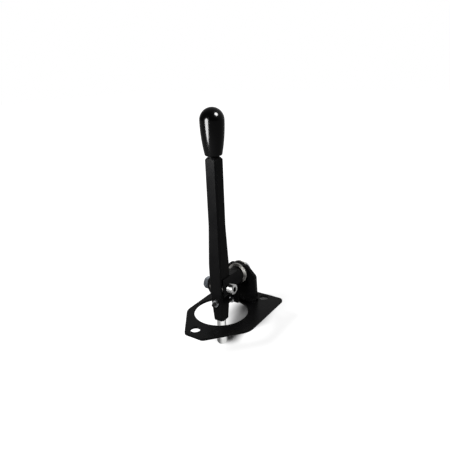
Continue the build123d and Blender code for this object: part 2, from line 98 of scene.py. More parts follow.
class NodeGraph:
    """Short way to add and join nodes in a material, a world or a node group."""

    def __init__(self, tree: bpy.types.NodeTree) -> None:
        """Keeps the tree that nodes are added to."""
        self.tree = tree

    def fill(self, node: Node, inputs: dict) -> None:
        """Sets or joins a node's inputs.

        Args:
            node: The node.
            inputs: Input name or index to a value, or to the output socket that feeds it.
        """
        for key, value in inputs.items():
            if isinstance(value, Socket):
                self.tree.links.new(value, node.inputs[key])
            else:
                node.inputs[key].default_value = value

    def add(self, kind: str, inputs: dict | None = None, **settings: object) -> Node:
        """Adds one node, sets its options and fills its inputs.

        Args:
            kind: Blender's node type name, without its ShaderNode prefix.
            inputs: What fill() puts into the inputs.
            settings: Options of the node itself, such as operation.

        Returns:
            The new node.
        """
        full = kind if kind.startswith("NodeGroup") else f"ShaderNode{kind}"
        node = self.tree.nodes.new(full)
        for name, value in settings.items():
            setattr(node, name, value)
        self.fill(node, inputs or {})
        return node

    def here(self) -> Socket:
        """Returns each point's place in the shared frame."""
        return self.add("TexCoord").outputs["Object"]

    def math(self, operation: str, first: object, second: object = 0.0) -> Socket:
        """Adds a Math node and returns its output."""
        return self.add("Math", {0: first, 1: second}, operation=operation).outputs[0]

    def product(self, *values: object) -> Socket:
        """Multiplies numbers and sockets and returns the output."""
        return reduce(lambda first, second: self.math("MULTIPLY", first, second), values)

    def total(self, *values: object) -> Socket:
        """Adds numbers and sockets and returns the output."""
        return reduce(lambda first, second: self.math("ADD", first, second), values)

    def vector(self, operation: str, first: object, second: object) -> Socket:
        """Adds a Vector Math node that gives a vector and returns that output."""
        return self.add("VectorMath", {0: first, 1: second}, operation=operation).outputs[0]

    def measure(self, operation: str, first: object, second: object = ORIGIN) -> Socket:
        """Adds a Vector Math node that gives a number and returns that output."""
        return self.add("VectorMath", {0: first, 1: second}, operation=operation).outputs["Value"]

    def ramp(
        self, value: object, low: float, high: float, start: object = 0.0, end: object = 1.0
    ) -> Socket:
        """Maps a value's range to another range, clamped, and returns the output."""
        return self.add("MapRange", {0: value, 1: low, 2: high, 3: start, 4: end}).outputs[0]

    def noise(self, place: Socket, scale: object, detail: float) -> Socket:
        """Adds a Noise Texture and returns its value."""
        return self.add("TexNoise", {"Vector": place, "Scale": scale, "Detail": detail}).outputs[0]

    def mix(self, mask: Socket, first: object, second: object) -> Socket:
        """Mixes two colours by a mask, which is 0 for the first and 1 for the second."""
        return self.add("Mix", {0: mask, 6: first, 7: second}, data_type="RGBA").outputs[2]

    def bump(self, height: Socket, depth: float, normal: Socket | None = None) -> Socket:
        """Adds a Bump node.

        Args:
            height: Socket of the height, from 0 to about 1.
            depth: Depth in metres of a height of 1.
            normal: Normal of a bump that lies under this one, if there is one.

        Returns:
            The normal's socket.
        """
        inputs = {"Height": height, "Strength": 1.0, "Distance": depth}
        if normal is not None:
            inputs["Normal"] = normal
        return self.add("Bump", inputs).outputs[0]


def sockets(node: Node) -> Sockets:
    """Returns a node's outputs by name."""
    return {socket.name: socket for socket in node.outputs}


@dataclass
class ShaderGroup:
    """Named node group, built once and shared by every material that uses it.

    Attributes:
        name: The group's name.
        inputs: Input names to their default values, which are numbers or vectors.
        outputs: Names of the outputs, which are all numbers.
    """

    name: str
    inputs: dict[str, float | Triple]
    outputs: tuple[str, ...]

    def tree(self) -> bpy.types.NodeTree:
        """Builds the group's tree on the first call.

        Returns:
            The tree.
        """
        found = bpy.data.node_groups.get(self.name)
        if found:
            return found
        tree = bpy.data.node_groups.new(self.name, "ShaderNodeTree")
        for label, default in self.inputs.items():
            kind = "NodeSocketVector" if isinstance(default, tuple) else "NodeSocketFloat"
            socket = tree.interface.new_socket(label, in_out="INPUT", socket_type=kind)
            socket.default_value = default
        for label in self.outputs:
            tree.interface.new_socket(label, in_out="OUTPUT", socket_type="NodeSocketFloat")
        graph = NodeGraph(tree)
        given = sockets(graph.add("NodeGroupInput"))
        graph.add("NodeGroupOutput", self.build(graph, given))
        return tree

    def build(self, graph: NodeGraph, given: Sockets) -> Sockets:
        """Adds the group's nodes; each kind of group has its own.

        Args:
            graph: The group's tree.
            given: The group's inputs by name.

        Returns:
            Output name to the socket that feeds it.
        """
        raise NotImplementedError

    def place(self, graph: NodeGraph, **values: object) -> Sockets:
        """Places the group in a material with its own values.

        Args:
            graph: The material's tree.
            values: Input names, with underscores for spaces, to numbers, vectors or sockets.

        Returns:
            The group's outputs by name.
        """
        inputs = {key.replace("_", " "): value for key, value in values.items()}
        return sockets(graph.add("Group", inputs, node_tree=self.tree()))


# Scales of the noises, as waves in one metre.
SLOW_SCALE = 42.0
SMUDGE_SCALE = 95.0
WEAR_SCALE = 330.0
SPECK_SCALE = 900.0
# Waves of the grit in one wave of the orange peel.
GRIT_TO_PEEL = 4.5
# Turn and stretch of each set of scratches.
SCRATCH_SETS = ((0.4, (900.0, 60.0, 300.0)), (1.9, (70.0, 800.0, 420.0)))


class CoatSkin(ShaderGroup):
    """Orange peel, fine grit and slow variation of a baked powder coat or moulded skin."""

    def build(self, graph: NodeGraph, given: Sockets) -> Sockets:
        """Adds two noises for height and one for the slow variation.

        Args:
            graph: The group's tree.
            given: The group's inputs by name.

        Returns:
            The outputs by name.
        """
        place = graph.here()
        peel = graph.noise(place, given["Peel Scale"], 2.0)
        grit = graph.noise(place, graph.product(given["Peel Scale"], GRIT_TO_PEEL), 3.0)
        slow = graph.noise(place, SLOW_SCALE, 3.0)
        return {
            "Height": graph.total(peel, graph.product(grit, given["Grit"])),
            "Patch": graph.ramp(slow, 0.35, 0.65),
            "Grit": graph.ramp(grit, 0.42, 0.62),
        }


class RoundFrame(ShaderGroup):
    """Distance from an axis, place along it and angle about it, for turned forms."""

    def build(self, graph: NodeGraph, given: Sockets) -> Sockets:
        """Measures each point against the axis through Centre.

        Args:
            graph: The group's tree.
            given: The group's inputs by name.

        Returns:
            The outputs by name.
        """
        offset = graph.vector("SUBTRACT", graph.here(), given["Centre"])
        side = graph.vector("CROSS_PRODUCT", given["Axis"], given["Across"])
        first = graph.measure("DOT_PRODUCT", offset, given["Across"])
        second = graph.measure("DOT_PRODUCT", offset, side)
        squares = graph.total(graph.math("POWER", first, 2.0), graph.math("POWER", second, 2.0))
        return {
            "Radius": graph.math("SQRT", squares),
            "Along": graph.measure("DOT_PRODUCT", offset, given["Axis"]),
            "Angle": graph.math("ARCTAN2", second, first),
        }


class ToolLines(ShaderGroup):
    """Fine lines that a cutting tool or a belt leaves, as height and as a light and dark mask."""

    def build(self, graph: NodeGraph, given: Sockets) -> Sockets:
        """Adds one-dimensional noises over the coordinate that runs across the lines.

        Args:
            graph: The group's tree.
            given: The group's inputs by name.

        Returns:
            The outputs by name.
        """
        across = graph.product(given["Across Lines"], given["Lines"])
        drift = graph.product(given["Along Lines"], given["Drift"])
        place = graph.add("CombineXYZ", {"X": across, "Y": drift}).outputs[0]
        fine = graph.noise(place, 1.0, 4.0)
        broad = graph.noise(place, 0.16, 2.0)
        return {
            "Height": graph.total(fine, graph.product(broad, 0.6)),
            "Shade": graph.ramp(fine, 0.35, 0.65),
        }


class ThreadGroove(ShaderGroup):
    """Height of a screw thread, 0 at its root and 1 at its crest."""

    def build(self, graph: NodeGraph, given: Sockets) -> Sockets:
        """Winds the place along the axis round with the angle.

        Args:
            graph: The group's tree.
            given: The group's inputs by name.

        Returns:
            The outputs by name.
        """
        turns = graph.math("DIVIDE", given["Along"], given["Pitch"])
        lead = graph.math("DIVIDE", given["Angle"], FULL_TURN)
        phase = graph.math("FRACT", graph.math("SUBTRACT", turns, lead))
        from_middle = graph.math("ABSOLUTE", graph.math("SUBTRACT", phase, 0.5))
        return {"Groove": graph.product(from_middle, 2.0)}


class Scuffs(ShaderGroup):
    """Sparse handling marks: short thin scratches and a few small smudges."""

    def build(self, graph: NodeGraph, given: Sockets) -> Sockets:
        """Adds two stretched noises for scratches and a soft one for smudges.

        Args:
            graph: The group's tree.
            given: The group's inputs by name.

        Returns:
            The outputs by name.
        """
        place = graph.here()
        lines = []
        for turn, stretch in SCRATCH_SETS:
            inputs = {"Vector": place, "Rotation": (turn, 0.6 * turn, turn), "Scale": stretch}
            turned = graph.add("Mapping", inputs).outputs[0]
            lines.append(graph.ramp(graph.noise(turned, 1.0, 1.0), 0.70, 0.74))
        return {
            "Scratches": graph.product(graph.math("MAXIMUM", *lines), given["Amount"]),
            "Smudges": graph.ramp(graph.noise(place, SMUDGE_SCALE, 4.0), 0.5, 0.72),
        }


class SettledDust(ShaderGroup):
    """Faint dust where a face looks up."""

    def build(self, graph: NodeGraph, given: Sockets) -> Sockets:
        """Multiplies how far the face looks up by a broken noise.

        Args:
            graph: The group's tree.
            given: The group's inputs by name.

        Returns:
            The outputs by name.
        """
        facing = graph.add("NewGeometry").outputs["Normal"]
        upward = graph.measure("DOT_PRODUCT", facing, Along.Z.unit())
        specks = graph.ramp(graph.noise(graph.here(), SPECK_SCALE, 4.0), 0.5, 0.7, 0.15)
        return {"Mask": graph.product(graph.ramp(upward, 0.3, 0.95), given["Amount"], specks)}


class EdgeWearAndHighlight(ShaderGroup):
    """Lighter edges, broken up by a noise: coat rubbed thin there, and a painted highlight along
    them.
    """

    def build(self, graph: NodeGraph, given: Sockets) -> Sockets:
        """Compares each point's normal with the normal rounded over its edges.

        Args:
            graph: The group's tree.
            given: The group's inputs by name.

        Returns:
            The outputs by name.
        """
        rounded = graph.add("Bevel", {"Radius": given["Reach"]}, samples=4).outputs[0]
        facing = graph.add("NewGeometry").outputs["Normal"]
        edge = graph.ramp(graph.measure("DOT_PRODUCT", rounded, facing), 0.80, 0.99, 1.0, 0.0)
        broken = graph.ramp(graph.noise(graph.here(), WEAR_SCALE, 3.0), 0.42, 0.60, 0.25)
        return {"Mask": graph.product(broken, given["Amount"], edge)}


COAT_SKIN = CoatSkin(
    "coat_skin", {"Peel Scale": 600.0, "Grit": 0.3}, ("Height", "Patch", "Grit")
)
ROUND_FRAME = RoundFrame(
    "round_frame",
    {"Centre": ORIGIN, "Axis": Along.Z.unit(), "Across": Along.X.unit()},
    ("Radius", "Along", "Angle"),
)
TOOL_LINES = ToolLines(
    "tool_lines",
    {"Across Lines": 0.0, "Along Lines": 0.0, "Lines": 9000.0, "Drift": 60.0},
    ("Height", "Shade"),
)
THREAD_GROOVE = ThreadGroove(
    "thread_groove", {"Along": 0.0, "Angle": 0.0, "Pitch": 1.0 * MM}, ("Groove",)
)
SCUFFS = Scuffs("scuffs", {"Amount": 1.0}, ("Scratches", "Smudges"))
SETTLED_DUST = SettledDust("settled_dust", {"Amount": 0.1}, ("Mask",))
EDGE_WEAR_AND_HIGHLIGHT = EdgeWearAndHighlight("edge_wear_and_highlight", {"Reach": 0.35 * MM, "Amount": 0.3}, ("Mask",))


# Finishes

DUST_COLOUR = (0.20, 0.19, 0.18)
# Colour of the edges, for coat rubbed thin and a painted highlight along them.
WORN_AND_LIT_EDGE_COLOUR = (0.09, 0.09, 0.09)
# Colour of the painted shade at the root of a thread.
THREAD_ROOT_SHADE_COLOUR = (0.18, 0.18, 0.17)
# Share of a turn that draws a highlight out across the tool lines, not along them.
QUARTER_TURN = 0.25


def colour(value: Triple, level: float = 1.0) -> tuple[float, float, float, float]:
    """Returns a share of the colour, with full opacity."""
    return (*(level * part for part in value), 1.0)


@dataclass(frozen=True)
class Finish:
    """What every finish has: a name, its handling marks and a way to make its material.

    Attributes:
        name: The finish's name.
        marks: Amount of scratches.
        scratched: Roughness that a scratch adds.
        smudged: Roughness that a smudge adds.
    """

    name: str
    marks: float = 0.0
    scratched: float = 0.0
    smudged: float = 0.0

    def material(self) -> bpy.types.Material:
        """Builds the finish's material on the first call.

        Returns:
            The material.
        """
        label = f"{self.name}_finish"
        found = bpy.data.materials.get(label)
        if found:
            return found
        material = bpy.data.materials.new(label)
        material.use_nodes = True
        material.node_tree.nodes.clear()
        graph = NodeGraph(material.node_tree)
        surface = graph.add("BsdfPrincipled")
        graph.add("OutputMaterial", {0: surface.outputs[0]})
        self.build(graph, surface)
        return material

    def build(self, graph: NodeGraph, surface: Node) -> None:
        """Fills the surface shader; each kind of finish has its own.

        Args:
            graph: The material's tree.
            surface: The surface shader.
        """
        raise NotImplementedError

    def scuff(self, graph: NodeGraph, rough: object) -> tuple[Socket, Socket]:
        """Adds the handling marks to a roughness.

        Args:
            graph: The material's tree.
            rough: Roughness without marks.

        Returns:
            The roughness with marks and the mask of the scratches.
        """
        scuffs = SCUFFS.place(graph, Amount=self.marks)
        for mask, share in (("Scratches", self.scratched), ("Smudges", self.smudged)):
            if share:
                rough = graph.total(rough, graph.product(scuffs[mask], share))
        return rough, scuffs["Scratches"]


@dataclass(frozen=True)
class CoatFinish(Finish):
    """Satin black powder coat.

    Attributes:
        base: Colour of the coat.
        grit_level: Level of that colour on the grit's high spots.
        roughness: Lowest and highest roughness over the surface.
        gloss: Specular level of the coat.
        peel_scale: Scale of the orange peel.
        peel_depth: Its depth in metres.
        grit: Share of fine grit in the height.
        dust: Amount of dust on faces that look up.
        worn_and_lit_edges: How far the edges are lightened by wear and painted highlight, 0 to 1.
    """

    marks: float = 0.25
    scratched: float = 0.10
    smudged: float = 0.05
    base: Triple = (0.0032, 0.0032, 0.0034)
    grit_level: float = 1.35
    roughness: Pair = (0.24, 0.32)
    gloss: float = 0.05
    peel_scale: float = 620.0
    peel_depth: float = 0.03 * MM
    grit: float = 0.30
    dust: float = 0.02
    worn_and_lit_edges: float = 0.35

    def build(self, graph: NodeGraph, surface: Node) -> None:
        """Joins skin, scuffs, dust and the worn edges with their painted highlight to the surface.

        Args:
            graph: The material's tree.
            surface: The surface shader.
        """
        skin = COAT_SKIN.place(graph, Peel_Scale=self.peel_scale, Grit=self.grit)
        dust = SETTLED_DUST.place(graph, Amount=self.dust)["Mask"]
        edge_wear_and_shine = EDGE_WEAR_AND_HIGHLIGHT.place(graph, Amount=self.worn_and_lit_edges)["Mask"]
        rough, _ = self.scuff(graph, graph.ramp(skin["Patch"], 0.0, 1.0, *self.roughness))
        body = graph.mix(skin["Grit"], colour(self.base), colour(self.base, self.grit_level))
        body = graph.mix(dust, body, colour(DUST_COLOUR))
        # Lighter edges: wear and painted highlight.
        body = graph.mix(edge_wear_and_shine, body, colour(WORN_AND_LIT_EDGE_COLOUR))
        normal = graph.bump(skin["Height"], self.peel_depth)
        graph.fill(surface, {"Base Color": body, "Roughness": rough, "Normal": normal})
        graph.fill(surface, {"Specular IOR Level": self.gloss})


@dataclass(frozen=True)
class ShaftFinish(CoatFinish):
    """The fork's coat, with bare threads on the end of its shaft.

    Attributes:
        bare_from: Place along X where the bare, turned shaft starts.
        pitch: Pitch of the thread.
        depth: Depth of the thread as a share of its pitch.
        core: Radius inside which the thread doesn't show.
        bare: Colour of the bare steel.
    """

    bare_from: float = 49.9 * MM
    pitch: float = 2.0 * MM
    depth: float = 0.4
    core: float = 6.2 * MM
    bare: Triple = (0.56, 0.55, 0.53)

    def build(self, graph: NodeGraph, surface: Node) -> None:
        """Adds bare steel and the thread's lines past one place on the shaft, with painted shade
        at the thread's root.

        Args:
            graph: The material's tree.
            surface: The surface shader.
        """
        super().build(graph, surface)
        axis, across = Along.X.unit(), Along.X.unit(1)
        frame = ROUND_FRAME.place(graph, Centre=HUB, Axis=axis, Across=across)
        wound = {"Along": frame["Along"], "Angle": frame["Angle"], "Pitch": self.pitch}
        groove = THREAD_GROOVE.place(graph, **wound)["Groove"]
        bare = graph.math("GREATER_THAN", frame["Along"], self.bare_from)
        rim = graph.math("GREATER_THAN", frame["Radius"], self.core)
        # Painted shade: darker at the thread's root.
        root = graph.product(graph.math("SUBTRACT", 1.0, groove), rim)
        steel = graph.mix(root, colour(self.bare), colour(THREAD_ROOT_SHADE_COLOUR))
        coat = surface.inputs["Base Color"].links[0].from_socket
        skin = surface.inputs["Normal"].links[0].from_socket
        normal = graph.bump(graph.product(groove, bare, rim), self.depth * self.pitch, skin)
        body = graph.mix(bare, coat, steel)
        graph.fill(surface, {"Base Color": body, "Metallic": bare, "Normal": normal})


@dataclass(frozen=True)
class KnobFinish(Finish):
    """Polished black moulding with a few hairline scratches and fingerprints.

    Attributes:
        base: Colour under the polish.
        scratch_level: Level of that colour in a scratch.
        roughness: Roughness of the polish.
        gloss: Specular level.
        wave_scale: Scale of the shallow moulding wave.
        wave_depth: Its depth in metres.
    """

    marks: float = 0.35
    scratched: float = 0.12
    smudged: float = 0.035
    base: Triple = (0.0009, 0.0009, 0.001)
    scratch_level: float = 3.0
    roughness: float = 0.15
    gloss: float = 0.11
    wave_scale: float = 70.0
    wave_depth: float = 0.006 * MM

    def build(self, graph: NodeGraph, surface: Node) -> None:
        """Joins scuffs and a shallow moulding wave to the surface.

        Args:
            graph: The material's tree.
            surface: The surface shader.
        """
        skin = COAT_SKIN.place(graph, Peel_Scale=self.wave_scale, Grit=0.0)
        rough, scratches = self.scuff(graph, self.roughness)
        body = graph.mix(scratches, colour(self.base), colour(self.base, self.scratch_level))
        normal = graph.bump(skin["Height"], self.wave_depth)
        graph.fill(surface, {"Base Color": body, "Roughness": rough, "Normal": normal})
        graph.fill(surface, {"Specular IOR Level": self.gloss})


@dataclass(frozen=True)
class TurnedMetalFinish(Finish):
    """Metal turned about one axis, with rings on its faces and lines round its sides.

    Attributes:
        base: Colour of the metal.
        line_level: Level of that colour in the tool lines.
        along: Axis that the piece is turned about.
        centre: A point on that axis.
        roughness: Lowest and highest roughness over the surface.
        line_depth: Depth of the tool lines in metres.
        lines: Tool lines over one metre.
        drift: How far the lines wander in one turn.
        drawn_out: How far a highlight is drawn out across the tool lines, from 0 to 1.
    """

    smudged: float = 0.06
    base: Triple = (0.62, 0.62, 0.61)
    line_level: float = 0.86
    along: Along = Along.X
    centre: Triple = HUB
    roughness: Pair = (0.22, 0.34)
    line_depth: float = 0.004 * MM
    lines: float = 6000.0
    drift: float = 0.4
    drawn_out: float = 0.45

    def build(self, graph: NodeGraph, surface: Node) -> None:
        """Joins the tool lines and what else is cut into the metal to the surface.

        Args:
            graph: The material's tree.
            surface: The surface shader.
        """
        axis, across = self.along.unit(), self.along.unit(1)
        frame = ROUND_FRAME.place(graph, Centre=self.centre, Axis=axis, Across=across)
        reach = graph.total(frame["Radius"], frame["Along"])
        wound = {"Across_Lines": reach, "Along_Lines": frame["Angle"]}
        lines = TOOL_LINES.place(graph, Lines=self.lines, Drift=self.drift, **wound)
        rough, _ = self.scuff(graph, graph.ramp(lines["Shade"], 0.0, 1.0, *self.roughness))
        body = graph.mix(lines["Shade"], colour(self.base, self.line_level), colour(self.base))
        normal = graph.bump(lines["Height"], self.line_depth)
        body, normal = self.cut(graph, frame, body, normal)
        graph.fill(surface, {"Base Color": body, "Roughness": rough, "Normal": normal})
        tangent = graph.add("Tangent", direction_type="RADIAL", axis=self.along.name).outputs[0]
        graph.fill(surface, {"Metallic": 1.0, "Anisotropic": self.drawn_out})
        graph.fill(surface, {"Anisotropic Rotation": QUARTER_TURN, "Tangent": tangent})

    def cut(
        self, graph: NodeGraph, frame: Sockets, body: Socket, normal: Socket
    ) -> tuple[Socket, Socket]:
        """Adds nothing more; a finish with a thread or a knurl has its own.

        Args:
            graph: The material's tree.
            frame: The round frame's outputs.
            body: Colour so far.
            normal: Normal so far.

        Returns:
            The colour's and the normal's sockets.
        """
        return body, normal


@dataclass(frozen=True)
class CapScrewFinish(TurnedMetalFinish):
    """Turned metal of a socket cap screw, with its thread, knurled head and painted shade in its
    socket.

    Attributes:
        pitch: Pitch of the thread.
        depth: Depth of the thread as a share of its pitch.
        root_shade_level: Level of the colour of the painted shade at the thread's root.
        thread_from: Place along the axis where the thread starts.
        core: Radius inside which the thread doesn't show.
        knurl_count: Grooves round the head.
        knurl_radius: Radius outside which the grooves lie.
        knurl_depth: Their depth in metres.
        socket_radius: Radius inside which the socket's painted shade lies.
        socket_middle: Place along the axis of the middle of its depth.
        socket_half: Half its depth.
        socket_shade_level: Level of the colour of the painted shade inside the socket.
    """

    pitch: float = 1.5 * MM
    depth: float = 0.45
    root_shade_level: float = 0.25
    thread_from: float = 6.0 * MM
    core: float = 4.4 * MM
    knurl_count: float = 56.0
    knurl_radius: float = 7.7 * MM
    knurl_depth: float = 0.018 * MM
    socket_radius: float = 4.7 * MM
    socket_middle: float = -24.9 * MM
    socket_half: float = 2.35 * MM
    socket_shade_level: float = 0.12

    def cut(
        self, graph: NodeGraph, frame: Sockets, body: Socket, normal: Socket
    ) -> tuple[Socket, Socket]:
        """Cuts the thread and the knurl, and paints shade at the thread's root and inside the
        socket.

        Args:
            graph: The material's tree.
            frame: The round frame's outputs.
            body: Colour so far.
            normal: Normal so far.

        Returns:
            The colour's and the normal's sockets.
        """
        along, angle, radius = frame["Along"], frame["Angle"], frame["Radius"]
        wound = {"Along": along, "Angle": angle, "Pitch": self.pitch}
        groove = THREAD_GROOVE.place(graph, **wound)["Groove"]
        past = graph.math("GREATER_THAN", along, self.thread_from)
        mask = graph.product(past, graph.math("GREATER_THAN", radius, self.core))
        # Painted shade: darker at the thread's root.
        root = graph.product(graph.math("SUBTRACT", 1.0, groove), mask)
        body = graph.mix(root, body, colour(self.base, self.root_shade_level))
        normal = graph.bump(graph.product(groove, mask), self.depth * self.pitch, normal)
        wave = graph.math("SINE", graph.product(angle, self.knurl_count))
        rim = graph.math("GREATER_THAN", radius, self.knurl_radius)
        normal = graph.bump(graph.product(wave, rim), self.knurl_depth, normal)
        # Painted shade inside the socket, within its radius and depth.
        from_middle = graph.math("ABSOLUTE", graph.math("SUBTRACT", along, self.socket_middle))
        below = graph.math("LESS_THAN", from_middle, self.socket_half)
        within = graph.math("LESS_THAN", radius, self.socket_radius)
        inside = graph.product(within, below)
        return graph.mix(inside, body, colour(self.base, self.socket_shade_level)), normal


@dataclass(frozen=True)
class SkinFinish(Finish):
    """Plated, oxidised or moulded surface with a fine skin and slow patches.

    Attributes:
        base: Colour of the surface.
        tint: Second colour that shows in patches.
        roughness: Lowest and highest roughness over the surface.
        metallic: 1 for metal, lower for an oxide layer, 0 for plastic.
        skin_scale: Scale of the skin.
        skin_depth: Its depth in metres.
        grit: Share of fine grit in the height.
    """

    marks: float = 0.6
    scratched: float = 0.15
    base: Triple = (0.76, 0.78, 0.81)
    tint: Triple = (0.66, 0.67, 0.68)
    roughness: Pair = (0.24, 0.38)
    metallic: float = 1.0
    skin_scale: float = 900.0
    skin_depth: float = 0.012 * MM
    grit: float = 0.6

    def build(self, graph: NodeGraph, surface: Node) -> None:
        """Joins patches, skin and scuffs to the surface.

        Args:
            graph: The material's tree.
            surface: The surface shader.
        """
        skin = COAT_SKIN.place(graph, Peel_Scale=self.skin_scale, Grit=self.grit)
        rough, _ = self.scuff(graph, graph.ramp(skin["Patch"], 0.0, 1.0, *self.roughness))
        body = graph.mix(skin["Patch"], colour(self.base), colour(self.tint))
        normal = graph.bump(skin["Height"], self.skin_depth)
        graph.fill(surface, {"Base Color": body, "Roughness": rough, "Normal": normal})
        graph.fill(surface, {"Metallic": self.metallic})


PLATE_COAT = CoatFinish("plate_coat")
UPRIGHT_COAT = CoatFinish("upright_coat", peel_scale=560.0)
WELD_COAT = CoatFinish("weld_coat", roughness=(0.38, 0.5), peel_scale=900.0, dust=0.0)
FORK_SKIN = {"roughness": (0.30, 0.40), "peel_scale": 800.0, "peel_depth": 0.018 * MM}
FORK_COAT = CoatFinish("fork_coat", worn_and_lit_edges=1.0, **FORK_SKIN)
SHAFT_COAT = ShaftFinish("shaft_coat", **FORK_SKIN)
LEVER_COAT = CoatFinish(
    "lever_coat", roughness=(0.32, 0.42), gloss=0.038, peel_scale=700.0, dust=0.03
)
KNOB_GLOSS = KnobFinish("knob_gloss")
BUSH_STEEL = TurnedMetalFinish(
    "bush_steel",
    base=(0.54, 0.53, 0.50),
    roughness=(0.36, 0.46),
    line_depth=0.0009 * MM,
    drawn_out=0.85,
)
WASHER_STEEL = TurnedMetalFinish("washer_steel", base=(0.60, 0.59, 0.56), lines=4200.0)
# A darker copy of the washer steel: painted shade for the washers between the lever and the fork's
# cheeks.
THRUST_STEEL = TurnedMetalFinish("thrust_steel", base=(0.34, 0.33, 0.31), along=Along.Y)
SLEEVE_BRONZE = TurnedMetalFinish("sleeve_bronze", base=(0.55, 0.36, 0.16), along=Along.Y)
INSERT_BRASS = TurnedMetalFinish("insert_brass", base=(0.72, 0.54, 0.24), along=Along.Z)
PIN_POLISH = TurnedMetalFinish(
    "pin_polish",
    base=(0.93, 0.93, 0.92),
    along=Along.Z,
    centre=ORIGIN,
    roughness=(0.06, 0.13),
    line_depth=0.001 * MM,
)
BOLT_BRIGHT = CapScrewFinish(
    "bolt_bright",
    base=(0.70, 0.70, 0.69),
    along=Along.Y,
    roughness=(0.12, 0.20),
    line_depth=0.0015 * MM,
)
NUT_ZINC = SkinFinish("nut_zinc")
# A darker copy of the zinc nut's finish: painted shade for the cross nut.
NUT_SHADED = SkinFinish("nut_shaded", base=(0.46, 0.50, 0.55), tint=(0.33, 0.36, 0.40))
SCREW_BLACK = SkinFinish(
    "screw_black",
    base=(0.020, 0.020, 0.022),
    tint=(0.030, 0.029, 0.028),
    roughness=(0.34, 0.48),
    metallic=0.35,
)
RING_NYLON = SkinFinish(
    "ring_nylon",
    scratched=0.0,
    base=(0.72, 0.72, 0.66),
    tint=(0.648, 0.648, 0.594),
    roughness=(0.42, 0.55),
    metallic=0.0,
    skin_scale=1400.0,
    skin_depth=0.02 * MM,
    grit=0.5,
)


# Meshes

WELD_SMOOTH = 60.0
SCREW_SMOOTH = 50.0


def replace_node(
    node: str, body: str, name: str, work: Work, finish: Finish, smooth: float
) -> None:
    """Turns a finished mesh into a piece that stands for a plain CAD node.

    Args:
        node: Name of the CAD node.
        body: CAD body that carries the piece.
        name: The piece's name.
        work: The mesh, which is freed.
        finish: Its finish.
        smooth: Angle in degrees above which an edge stays sharp.
    """
    bmesh.ops.recalc_face_normals(work, faces=work.faces)
    mesh = bpy.data.meshes.new(name)
    work.to_mesh(mesh)
    work.free()
    mesh.shade_smooth()
    mesh.set_sharp_from_angle(angle=math.radians(smooth))
    mesh.materials.append(finish.material())
    piece = bpy.data.objects.new(name, mesh)
    bpy.context.scene.collection.objects.link(piece)
    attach(piece, body)
    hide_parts(node)
    LOG.info("piece %s rides on %s, %d faces", name, body, len(mesh.polygons))


def join_rings(work: Work, first: list, second: list) -> None:
    """Spans the gap between two rings of as many vertices with faces.

    Args:
        work: The mesh.
        first: Vertices of one ring.
        second: Vertices of the other ring.
    """
    for index in range(len(first)):
        after = (index + 1) % len(first)
        work.faces.new((first[index], first[after], second[after], second[index]))


@dataclass
class SetScrew:
    """Socket set screw with a real cut thread.

    Attributes:
        name: Name of the piece.
        socket_end: Centre of the end that has the hexagon socket.
        direction: 1 or -1, the way along X from the socket end to the point.
        length: Length of the screw.
        radius: Outer radius of the thread.
        pitch: Pitch of the thread.
        depth: Depth of the thread as a share of its pitch.
        root_flat: Share of the pitch that is flat at the thread's root.
        flank: Share of the pitch over which its flanks rise.
        end_depth: Share of the thread's depth that the ends are turned down by.
        socket_flats: Width of the socket across its flats.
        socket_depth: Depth of the socket.
        lip: Width of the break at the socket's mouth.
        sides: Vertices in one ring.
        steps: Rings in one turn of the thread.
    """

    name: str
    socket_end: Triple
    direction: int
    length: float
    radius: float = 3.0 * MM
    pitch: float = 1.0 * MM
    depth: float = 0.54
    root_flat: float = 0.14
    flank: float = 0.68
    end_depth: float = 0.9
    socket_flats: float = 3.0 * MM
    socket_depth: float = 4.0 * MM
    lip: float = 0.15 * MM
    sides: int = 36
    steps: int = 8

    def thread_radius(self, along: float, angle: float) -> float:
        """Returns the surface's radius at one place on the thread.

        Args:
            along: Place from the socket end.
            angle: Angle about the screw.

        Returns:
            The radius.
        """
        depth = self.depth * self.pitch
        phase = (self.direction * along / self.pitch - angle / FULL_TURN) % 1.0
        rise = (abs(phase - 0.5) * 2.0 - self.root_flat) / self.flank
        cut = self.radius - depth * (1.0 - min(1.0, max(0.0, rise)))
        end = min(along, self.length - along)
        return min(cut, self.radius - self.end_depth * depth + end)

    def hexagon(self, angle: float) -> float:
        """Returns the radius of the hexagon socket at an angle."""
        turn = (angle % (math.pi / 3.0)) - math.pi / 6.0
        return 0.5 * self.socket_flats / math.cos(turn)

    def ring(self, work: Work, along: float, radius: Callable[[float], float]) -> list:
        """Adds one ring of vertices.

        Args:
            work: The mesh.
            along: Place from the socket end.
            radius: Gives the radius at an angle.

        Returns:
            The ring's vertices.
        """
        centre = Vector(self.socket_end) + Vector((self.direction * along, 0.0, 0.0))
        ring = []
        for index in range(self.sides):
            angle = FULL_TURN * index / self.sides
            arm = Vector((0.0, math.cos(angle), math.sin(angle))) * radius(angle)
            ring.append(work.verts.new(centre + arm))
        return ring

    def build(self, node: str, body: str) -> None:
        """Builds the screw in place of its plain CAD node.

        Args:
            node: Name of the CAD node.
            body: CAD body that carries the screw.
        """
        work = bmesh.new()
        count = int(self.length / self.pitch * self.steps)
        rings = [
            self.ring(work, self.socket_depth, self.hexagon),
            self.ring(work, self.lip, self.hexagon),
            self.ring(work, 0.0, lambda angle: self.hexagon(angle) + self.lip),
        ]
        for index in range(count + 1):
            along = self.length * index / count
            rings.append(self.ring(work, along, partial(self.thread_radius, along)))
        for first, second in zip(rings, rings[1:]):
            join_rings(work, first, second)
        work.faces.new(rings[0])
        work.faces.new(rings[-1])
        replace_node(node, body, self.name, work, SCREW_BLACK, SCREW_SMOOTH)


